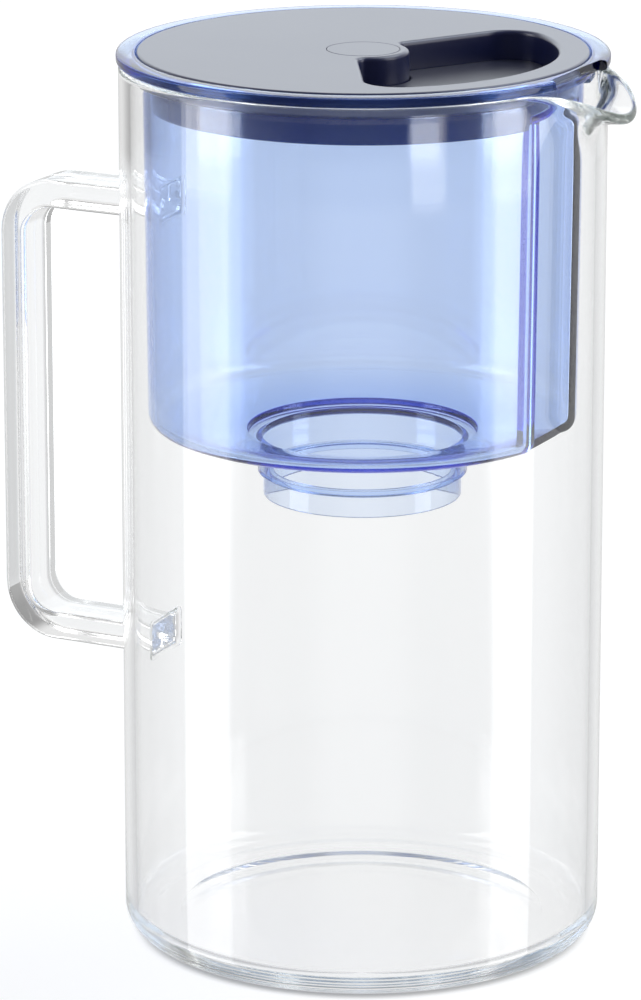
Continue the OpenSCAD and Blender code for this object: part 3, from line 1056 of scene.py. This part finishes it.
@dataclass
class Pocket:
    """Outline of the filler pocket: a sector with round corners, wrapped around the boss."""

    boss: float = 11.8
    reach: float = 49.7
    half_angle: float = 60.0
    side: float = 2.0
    inner: float = 2.5
    outer: float = 9.0

    def outline(self, grow: float = 0.0) -> Array:
        """The outline, moved outwards by grow.

        It is five arcs and lines for each half: the boss, an inner corner, the side, an outer
        corner and the far wall. Moving it outwards changes each arc's radius and no centre. The
        centre of a corner lies at a distance from the side's radial line and from the axis.

        Args:
            grow: Distance outwards.

        Returns:
            Points (x, y) once round, anticlockwise.
        """
        t = math.radians(self.half_angle)
        along, into = np.array([math.cos(t), math.sin(t)]), np.array([math.sin(t), -math.cos(t)])
        corner = ((self.inner, self.boss + self.inner), (self.outer, self.reach - self.outer))
        c1, c2 = (
            (bend - self.side) * into + math.sqrt(far**2 - (bend - self.side) ** 2) * along
            for bend, far in corner
        )
        a1, a2 = (math.degrees(math.atan2(c[1], c[0])) for c in (c1, c2))
        back = self.half_angle + 90.0
        parts = [
            arc((0, 0), self.reach + grow, 0, a2, 34)[:-1],
            arc(c2, self.outer + grow, a2, back, 18),
            arc(c1, self.inner + grow, back, a1 + 180.0, 12),
            arc((0, 0), self.boss - grow, a1, 0, 22)[1:],
        ]
        half = np.concatenate(parts)
        return np.concatenate([half, (half[::-1] * [1, -1])[1:-1]])

    def stack(self, steps: Sequence[Sequence[float]]) -> Array:
        """Rings of the outline, one for each step (grow, z)."""
        return np.stack([level(self.outline(grow), z) for grow, z in steps])


@dataclass
class Lid:
    """The lid's plate with its pocket and ears, its glossy skirt and its centre cap."""

    ear_y: Sequence[float]
    top: float = 234.7
    plate: float = 2.8
    radius: float = 57.75
    pocket: Pocket = field(default_factory=Pocket)
    pocket_wall: float = 1.8
    pocket_low: float = 225.4
    pocket_edge: float = 1.2
    cap_r: float = 9.3
    cap_t: float = 1.2
    cap_gap: float = 0.1
    stem_r: float = 2.5
    stem_gap: float = 0.05
    stem_len: float = 5.0
    skirt_r: float = 54.0
    skirt_wall: float = 2.0
    skirt_low: float = 221.2
    notch_half: float = 14.1
    notch_z: float = 225.0
    hinge_x: float = 3.0
    hinge_z: float = 222.8
    hole_r: float = 1.05
    ear_w: float = 5.0
    ear_t: float = 2.0
    ear_top: float = 232.4
    stop_angle: float = 24.0

    def cover(self) -> Skin:
        """The plate: rings of its edge, pocket, cap recess and stem hole, with flat fills between.

        Returns:
            The skin.
        """
        skin, low, top, under = Skin(), self.top - self.plate, self.top, self.pocket_low
        edge = [
            [[self.radius - 0.55, low]],
            arc((self.radius - 0.4, low + 0.4), 0.4, -90, 0, 5),
            arc((self.radius - 0.7, top - 0.7), 0.7, 0, 90, 8),
            [[self.radius - 0.85, top]],
        ]
        rim = skin.ring(lathe(np.concatenate(edge), full_turn(240)))
        skin.strips(rim)
        e, wall = self.pocket_edge, self.pocket_wall
        well = [(wall + 0.12, low), (wall, low), (wall, under + 0.25), (wall - 0.25, under)]
        well += [(0.25, under), (0.0, under + 0.25), (0.0, under + 2.0)]
        well += [(e - x, top - e + y) for x, y in arc((0, 0), e, 0, 90, 9)]
        rows = skin.ring(self.pocket.stack([*well, (e + 0.12, top)])[:, ::-1])
        skin.strips(rows)
        cap, stem = self.cap_r + self.cap_gap, self.stem_r + self.stem_gap
        boss, floor = self.stem_r + 2, top - self.cap_t - 0.05
        bore = [(self.cap_r + 0.42, top), (self.cap_r + 0.3, top), (cap + 0.06, top - 0.05)]
        bore += [(cap, top - 0.2), (cap, floor), (stem, floor), (stem, under)]
        bore += [(boss, under), (boss, low), (boss + 0.12, low)]
        hole = skin.ring(lathe(np.array(bore), full_turn(96)))
        skin.strips(hole[:, ::-1])
        skin.fill([rim[-1], rows[-1], hole[0]], up=True)
        skin.fill([rim[0], rows[0], hole[-1]], up=False)
        for y in self.ear_y:
            self.ear(skin, y)
            self.ear(skin, -y)
        self.stops(skin)
        return skin

    def ear(self, skin: Skin, y: float) -> None:
        """Add one hinge ear: a tab with a round end and a hole, carried along Y.

        Args:
            skin: The skin to add to.
            y: The middle of the ear.
        """
        half, x, z = self.ear_w / 2, self.hinge_x, self.hinge_z
        root = [[x + half, self.ear_top], [x - half, self.ear_top]]
        tab = np.concatenate([arc((x, z), half, 180, 360, 25), root])
        hole = arc((x, z), self.hole_r, 0, 360, 25)[:-1]
        skin.tab(tab, hole, (y - self.ear_t / 2, y + self.ear_t / 2))

    def stops(self, skin: Skin) -> None:
        """Add the two small ledges on the far wall that stop the flap: an outline turned about Z.

        Args:
            skin: The skin to add to.
        """
        shape = rounded([(48.6, -2, 0.3), (50.2, -2, 0), (50.2, 2, 0), (48.6, 2, 0.3)], n=4)
        for side in (-1, 1):
            t = math.radians(side * self.stop_angle)
            c, s = math.cos(t), math.sin(t)
            flat = shape @ np.array([[c, s], [-s, c]])
            z = self.pocket_low + 2.0
            skin.skin(np.stack([level(flat, z), level(flat, z + 0.9)]))

    def skirt(self) -> Skin:
        """The glossy ring: a closed profile turned about Z, raised to the notch over the recess.

        Returns:
            The skin.
        """
        top, low, r = self.top - self.plate - 0.02, self.skirt_low, self.skirt_r
        inner = r - self.skirt_wall
        shape = rounded([(r, top, 0), (inner, top, 0), (inner, low, 0.4), (r, low, 0.5)], n=6)
        a, b = (np.degrees(np.arcsin((self.notch_half + d) / r)) for d in (0.4, -0.4))
        near = spaced([-a - 1, -a, -b, b, a, a + 1], [1, 8, 20, 8, 1])[:-1]
        far = np.linspace(a + 1, 359 - a, 190)[:-1]
        rings = lathe(shape, np.radians(np.concatenate([near, far])))
        x, y, z = np.moveaxis(rings, 2, 0)
        mask = smooth_step((self.notch_half + 0.35 - np.abs(y)) / 0.7) * (x > 0)
        z += mask * np.clip(self.notch_z + (z - low) * 0.3 - z, 0, None)
        skin = Skin()
        skin.strips(skin.ring(rings), wrap_rows=True)
        return skin

    def cap(self) -> Skin:
        """The centre cap: a head and a stem turned about Z.

        Returns:
            The skin.
        """
        top, under, r, stem = self.top, self.top - self.cap_t, self.cap_r, self.stem_r
        end = under - self.stem_len
        shape = [
            (0, top, 0), (r - 0.3, top, 0), (r, top, 0.16), (r, under, 0.1),
            (stem, under, 0.1), (stem, end, 0.5), (0, end, 0),
        ]
        skin = Skin()
        rings = lathe(rounded(shape, closed=False, n=6), full_turn(96))
        skin.skin(rings, End.POINT, End.POINT)
        return skin

    def build(self, paint: Paint) -> None:
        """Make the lid's pieces and dress them.

        Args:
            paint: Hands out the materials.
        """
        for name, skin, finish, node in (
            ("lid_plate", self.cover(), Finish.SATIN, "lid_cover"),
            ("lid_skirt_ring", self.skirt(), Finish.GLOSS, "lid_skirt"),
            ("lid_centre_cap", self.cap(), Finish.SATIN, "centre_cap"),
        ):
            paint.settle(skin.build(name), finish, "lid", node)


@dataclass
class Flap:
    """The filler flap with its arms and knuckles."""

    knuckle_y: float
    knuckle_len: float
    pocket: Pocket = field(default_factory=Pocket)
    gap: float = 0.35
    low: float = 225.4
    thick: float = 1.8
    hinge_x: float = 3.0
    hinge_z: float = 222.8
    knuckle_r: float = 2.0
    hole_r: float = 1.05
    arm_len: float = 11.0
    arm_back: float = 8.8

    def plate(self) -> Skin:
        """The plate: the pocket's outline, a gap smaller, with small round edges.

        Returns:
            The skin.
        """
        skin, low, top = Skin(), self.low, self.low + self.thick
        edge = [(-0.45, low), (-0.3, low), (-0.09, low + 0.09), (0.0, low + 0.3)]
        edge += [(0.0, top - 0.35), (-0.1, top - 0.1), (-0.35, top), (-0.5, top)]
        index = skin.ring(self.pocket.stack([(grow - self.gap, z) for grow, z in edge]))
        skin.strips(index)
        skin.fill([index[-1]], up=True)
        skin.fill([index[0]], up=False)
        return skin

    def arm(self, skin: Skin, side: int) -> None:
        """Add one knuckle and its arm: an outline in XZ with a hole, carried along Y.

        Args:
            skin: The skin to add to.
            side: 1 or -1.
        """
        x, z, back = self.hinge_x, self.hinge_z, self.arm_back
        y = self.knuckle_y if side > 0 else -self.knuckle_y - self.knuckle_len
        top, end = self.low - 0.3, x + self.arm_len
        arm = [[end - 1.5, top - 1.6], [end - 0.5, top - 1.2], [end, top - 0.4]]
        arm += [[end, self.low + 0.3], [back, self.low + 0.3], [back, top], [x + 1, top - 0.1]]
        tab = np.concatenate([arc((x, z), self.knuckle_r, 90, 318, 25), arm])
        skin.tab(tab, arc((x, z), self.hole_r, 0, 360, 25)[:-1], (y, y + self.knuckle_len))

    def build(self, paint: Paint) -> None:
        """Make the flap and dress it.

        Args:
            paint: Hands out the materials.
        """
        skin = self.plate()
        for side in (-1, 1):
            self.arm(skin, side)
        paint.settle(skin.build("flap_plate"), Finish.FLAP, "flap", "filler_flap")


@dataclass
class Hinge:
    """The steel pins and the two halves of each torsion spring.

    What stands along the pin follows from the spring: inner ear, both halves of the spring,
    knuckle, outer ear. The turns are pitched so that they still clear when the flap winds them up.
    """

    x: float = 3.0
    z: float = 222.8
    pin_r: float = 1.0
    pin_start: float = 8.0
    wire_r: float = 0.3
    turn_gap: float = 0.03
    swing: float = 75.0
    coil_r: float = 1.7
    turns: int = 2
    coil_y: float = 10.95
    leg: float = 7.5
    leg_z: float = 225.0
    inner_ear: float = 9.3
    knuckle_len: float = 3.0
    knuckle_gap: float = 0.6
    ear_gap: float = 0.3
    ear_half: float = 1.0

    @property
    def pitch(self) -> float:
        """Step of one turn: (wire + gap) / (1 - swing / 360)."""
        return (2 * self.wire_r + self.turn_gap) / (1 - self.swing / 360)

    @property
    def knuckle_y(self) -> float:
        """Where the flap's knuckle starts, beyond all turns of the spring."""
        return self.coil_y + 2 * self.turns * self.pitch + self.knuckle_gap

    @property
    def outer_ear(self) -> float:
        """Middle of the outer ear."""
        return self.knuckle_y + self.knuckle_len + self.ear_gap + self.ear_half

    def pins(self) -> Skin:
        """Two pins along Y with chamfered ends: a profile turned about Z, laid along Y.

        Returns:
            The skin.
        """
        skin = Skin()
        shape = np.array([(0, 0), (self.pin_r - 0.25, 0), (self.pin_r, 0.25)])
        length = self.outer_ear + self.ear_half + self.ear_gap - self.pin_start
        shape = np.concatenate([shape, shape[::-1] * [1, -1] + [0, length]])
        x, z, y = np.moveaxis(lathe(shape, full_turn(32)), 2, 0)
        for side in (-1, 1):
            placed = np.stack([x + self.x, side * (y + self.pin_start), z + self.z], axis=2)
            skin.skin(placed if side < 0 else placed[:, ::-1], End.POINT, End.POINT)
        return skin

    def spring(self, moving: bool) -> Skin:
        """One half of each spring: a helix about the hinge's axis that ends in a straight leg.

        At the angle a the helix is at (coil radius * cos a, y + pitch * turns so far,
        coil radius * sin a) from the axis, with a from the top towards +X and down.

        Args:
            moving: Whether it is the half whose leg bears up under the flap.

        Returns:
            The skin.
        """
        skin, r, pitch = Skin(), self.coil_r, self.pitch
        t = np.linspace(0, self.turns, self.turns * 44 + 1)
        a = np.radians(90) - 2 * np.pi * t
        x, z = self.x + r * np.cos(a), self.z + r * np.sin(a)
        start = self.coil_y + (self.turns * pitch if moving else 0)
        for side in (-1, 1):
            helix = np.stack([x, side * (start + pitch * t), z], axis=1)
            bend = helix[-1 if moving else 0]
            end_x = self.x + (self.leg if moving else -self.leg)
            tip = np.array([end_x, bend[1], min(self.leg_z, bend[2] + 0.4)])
            leg = bend + (tip - bend) * np.linspace(0.12, 1, 6)[:, None]
            path = np.concatenate([helix, leg] if moving else [leg[::-1], helix])
            skin.skin(tube(path, self.wire_r, 12, (0, 1, 0)))
        return skin

    def build(self, paint: Paint) -> None:
        """Make the pins and springs and dress them.

        Args:
            paint: Hands out the materials.
        """
        for name, skin, body, node in (
            ("steel_pins", self.pins(), "lid", "hinge_pins"),
            ("spring_fixed_halves", self.spring(False), "lid", "spring_coils"),
            ("spring_moving_halves", self.spring(True), "flap", "spring_arms"),
        ):
            paint.settle(skin.build(name), Finish.STEEL, body, node)


# ---------------------------------------------------------------- the studio


@dataclass
class Studio:
    """Floor, soft lamps, world and camera, in metres.

    Attributes:
        turn: Angle of the camera's own frame about Z.
        focal: Focal length in pixels of the picture.
        picture: Width and height in pixels.
        distance: The camera's distance from the axis.
        height: Its height.
        pitch: How far it looks down, in radians.
        yaw: How far it looks aside, in radians.
        floor_r: Radius of the floor.
        floor_z: Its height, a little under the foot.
        glow: The floor's own light.
        behind: Share of the white that is seen through clear pieces.
        painted_foot_shadow: Radii across which the painted contact shadow under the foot fades out
            and the floor brightens.
        pass_by: Radii between which mirrored light leaves the floor for the world.
        ambient: Strength of the plain light.
        strip: Strength of the tall strips in a mirror.
        strip_inner: Their strength on the floor, as mirrored inside a clear piece.
        strip_skirt: Their strength in the world, as mirrored inside a clear piece.
        streak: Strength of the low streak near the camera.
        mirror_front: What a mirror shows towards the camera.
        mirror_back: What it shows more of away from it.
        inner: What a mirror inside a clear piece shows.
        card: Darkness of the side cards through a clear piece.
        card_inner: Their darkness in a mirror inside one.
        ceiling: Darkness of the ceiling.
        tint: Colour of the lamps.
    """

    turn: float = math.radians(26.75)
    focal: float = 5649.24
    picture: tuple[int, int] = (641, 1000)
    distance: float = 1.41699
    height: float = 0.509126
    pitch: float = 0.271
    yaw: float = -0.00768
    floor_r: float = 6.0
    floor_z: float = -0.0003
    glow: float = 0.8
    behind: float = 0.88
    painted_foot_shadow: tuple[float, float] = (0.0565, 0.0612)
    pass_by: tuple[float, float] = (0.96, 1.02)
    ambient: float = 0.3
    strip: float = 2.6
    strip_inner: float = 1.4
    strip_skirt: float = 4.6
    streak: float = 5.0
    mirror_front: float = 0.05
    mirror_back: float = 0.6
    inner: float = 0.86
    card: float = 0.42
    card_inner: float = 0.6
    ceiling: float = 0.6
    tint: Colour = (0.84, 0.93, 1.0)

    def to_part(self, x: float, y: float, z: float) -> Vector:
        """Turn a point of the camera's own frame about Z into the part's frame.

        Args:
            x: To the right.
            y: Away from the camera.
            z: Up.

        Returns:
            The point.
        """
        c, s = math.cos(self.turn), math.sin(self.turn)
        return Vector((x * c - y * s, x * s + y * c, z))

    def camera(self) -> None:
        """Place the camera."""
        data = bpy.data.cameras.new("camera")
        data.sensor_width = 36.0
        data.lens = self.focal * 36.0 / max(self.picture)
        data.clip_start = 0.05
        cam = shown("camera", data)
        cam.location = self.to_part(0.0, -self.distance, self.height)
        cp, sp = math.cos(self.pitch), math.sin(self.pitch)
        ahead = self.to_part(math.sin(self.yaw) * cp, math.cos(self.yaw) * cp, -sp)
        cam.rotation_euler = ahead.to_track_quat("-Z", "Y").to_euler()
        bpy.context.scene.camera = cam

    def rays(self, g: Graph) -> tuple[Sock, Sock, Sock, Sock]:
        """Tell the kinds of ray apart.

        Args:
            g: The graph to work in.

        Returns:
            1 for a ray from the camera, for one that comes straight off a surface, for one that
            was mirrored behind or inside a clear piece, and for one that only passed through.
        """
        light = g.add("ShaderNodeLightPath", out="Is Camera Ray")
        passed = light.sibling("Is Transmission Ray")
        turned_back = passed * light.sibling("Glossy Depth").greater(0.5)
        direct = light.sibling("Is Glossy Ray") * (1.0 - passed)
        return light, direct, turned_back, passed - turned_back

    def sky(self, g: Graph, way: Sock) -> tuple[Sock, Sock, Sock, Sock]:
        """Find where a direction points in the studio.

        Args:
            g: The graph to work in.
            way: The direction.

        Returns:
            1 towards the camera and -1 away from it, 1 for the right half, the share of the two
            tall soft strips, and the share of the dark cards at the sides.
        """
        axes = [self.to_part(0.0, 1.0, 0.0), self.to_part(1.0, 0.0, 0.0)]
        kind, dot = "ShaderNodeVectorMath", {"operation": "DOT_PRODUCT"}
        ahead, aside = (g.add(kind, dot, {0: way, 1: axis}, "Value") for axis in axes)
        level_part = (ahead * ahead + aside * aside + 0.0001) ** 0.5
        near, side = ahead / level_part * -1.0, aside / level_part
        right = side.greater(0.0)
        strip = smooth_edge(near - (right * 0.09 - 0.07), -0.015, 0.015)
        strip = strip * smooth_edge((right * 0.02 + 0.41) - near, -0.02, 0.03)
        return near, right, strip, smooth_edge(side * side * near * near * 4.0, 0.15, 0.9)

    def floor(self) -> None:
        """A plain pale floor that keeps the shadow, and that mirrored light passes by."""
        skin = Skin()
        profile = np.array([(r, self.floor_z) for r in (0, 1, self.floor_r)])
        skin.strips(skin.ring(lathe(profile, full_turn(64)) / MM))
        obj = skin.build("floor")
        mat = bpy.data.materials.new("floor_paper")
        g = Graph(mat)
        light, direct, turned_back, through = self.rays(g)
        place = g.add("ShaderNodeTexCoord", out="Object")
        away = g.add("ShaderNodeVectorMath", {"operation": "LENGTH"}, {0: place}, "Value")
        back = g.add("ShaderNodeNewGeometry", out="Incoming")
        scale = {0: back, "Scale": -1.0}
        way = g.add("ShaderNodeVectorMath", {"operation": "SCALE"}, scale, "Vector")
        _, _, strip, card = self.sky(g, way)
        # Painted contact shadow: for camera rays the floor's glow is dimmed near the foot, by
        # radius from the axis; the lamps' real shadow comes through the lit part.
        painted_shadow = light * (1.0 - smooth_edge(away, *self.painted_foot_shadow)) * 0.75
        seen = 1.0 - through.most(turned_back) * (1.0 - (1.0 - card * self.card) * self.behind)
        glow = (1.0 - painted_shadow) * seen * self.glow
        glow = glow + turned_back * strip * smooth_edge(away, 0.25, 0.5) * self.strip_inner
        paper = g.blend(g.noise(240.0, 3.0), (0.78, 0.78, 0.785), (0.80, 0.80, 0.80))
        diffuse = g.add("ShaderNodeBsdfDiffuse", {}, {"Color": paper})
        lit = g.add("ShaderNodeBsdfDiffuse", {}, {"Color": (0.445, 0.427, 0.415, 1.0)})
        pale = {"Color": (0.98, 0.992, 1.0, 1.0), "Strength": glow}
        both = g.add("ShaderNodeAddShader", {}, {0: lit, 1: g.add("ShaderNodeEmission", {}, pale)})
        seen = light.most(through).most(turned_back)
        paint = g.add("ShaderNodeMixShader", {}, {0: seen, 1: diffuse, 2: both})
        clear = g.add("ShaderNodeBsdfTransparent")
        past = direct.most(turned_back * smooth_edge(away, *self.pass_by))
        out = g.add("ShaderNodeMixShader", {}, {0: past, 1: paint, 2: clear})
        g.add("ShaderNodeOutputMaterial", {}, {"Surface": out})
        obj.data.materials.append(mat)
        obj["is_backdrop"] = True

    def world(self) -> None:
        """Plain light from all round, with a white background wherever it is seen."""
        world = bpy.data.worlds.new("studio_air")
        bpy.context.scene.world = world
        g = Graph(world)
        light, direct, turned_back, through = self.rays(g)
        way = g.add("ShaderNodeTexCoord", out="Object")
        near, right, strip, card = self.sky(g, way)
        up = g.add("ShaderNodeSeparateXYZ", {}, {0: way}, "Z")
        strip = strip * (1.0 - smooth_edge(up * up, 0.5, 0.6))
        mirror = smooth_edge(near, 0.3, -0.7) * self.mirror_back + self.mirror_front
        mirror = mirror + strip * self.strip
        down = smooth_edge(up, -0.08, -0.16)
        streak = smooth_edge(near, 0.74, 0.8) * smooth_edge(near, 0.93, 0.9) * right * down
        streak = streak * self.streak
        inner = (1.0 - smooth_edge(near, 0.5, 1.0) * down) * (1.0 - card * self.card_inner)
        inner = inner * self.inner + strip * self.strip_skirt + streak
        clear = (1.0 - card * self.card) * (1.0 - smooth_edge(up, 0.05, 0.3) * self.ceiling)
        clear = clear * self.behind
        seen = light + direct * mirror + turned_back * inner + through * clear
        rest = 1.0 - light.most(direct).most(turned_back).most(through)
        strength = seen + rest * self.ambient
        white = {"Color": (1.0, 1.0, 1.0, 1.0), "Strength": strength}
        g.add("ShaderNodeOutputWorld", {}, {"Surface": g.add("ShaderNodeBackground", {}, white)})

    def lamp(self, name: str, azimuth: float, place: Sequence[float], size: Sequence[float],
             power: float) -> None:
        """Add one soft lamp that looks at the jug.

        Args:
            name: Its name.
            azimuth: Degrees to the right of the camera's direction, seen from the jug.
            place: Metres from the axis and above the table.
            size: Width and height in metres.
            power: Watts.
        """
        data = bpy.data.lights.new(name, "AREA")
        data.shape = "RECTANGLE"
        data.size, data.size_y = size
        data.energy = power
        data.color = self.tint
        obj = shown(name, data)
        t, (distance, height) = math.radians(azimuth), place
        obj.location = self.to_part(distance * math.sin(t), -distance * math.cos(t), height)
        aim = Vector((0, 0, 0.13)) - obj.location
        obj.rotation_euler = aim.to_track_quat("-Z", "Y").to_euler()
        obj.visible_camera = False
        obj.visible_transmission = False

    def build(self) -> None:
        """Make the studio."""
        self.camera()
        self.floor()
        self.world()
        self.lamp("back_panel", 180.0, (1.9, 0.95), (2.6, 1.3), 8.2)
        self.lamp("overhead", 120.0, (1.2, 1.9), (1.2, 1.2), 16.0)
        scene = bpy.context.scene
        scene.view_settings.view_transform = "Standard"
        scene.cycles.max_bounces = 360
        scene.cycles.transmission_bounces = 240
        scene.cycles.glossy_bounces = 320
        scene.cycles.transparent_max_bounces = 48
        scene.cycles.sample_clamp_indirect = 4.0


def corners(pair: Sequence[Sequence[float]]) -> list[list[float]]:
    """Bounds as plain lists of numbers: the lowest corner, then the highest."""
    return [[float(v) for v in corner] for corner in pair]


def main() -> None:
    """Build the pitcher in its studio."""
    logging.basicConfig(level=logging.INFO, format="%(name)s: %(message)s")
    cad = corners(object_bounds())
    paint = Paint()
    hinge = Hinge()
    Studio().build()
    Jug().build(paint)
    Reservoir().build(paint)
    Lid((hinge.inner_ear, hinge.outer_ear)).build(paint)
    Flap(hinge.knuckle_y, hinge.knuckle_len).build(paint)
    hinge.build(paint)
    {"cad": cad, "visual": corners(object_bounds())}


if __name__ == "__main__":
    main()
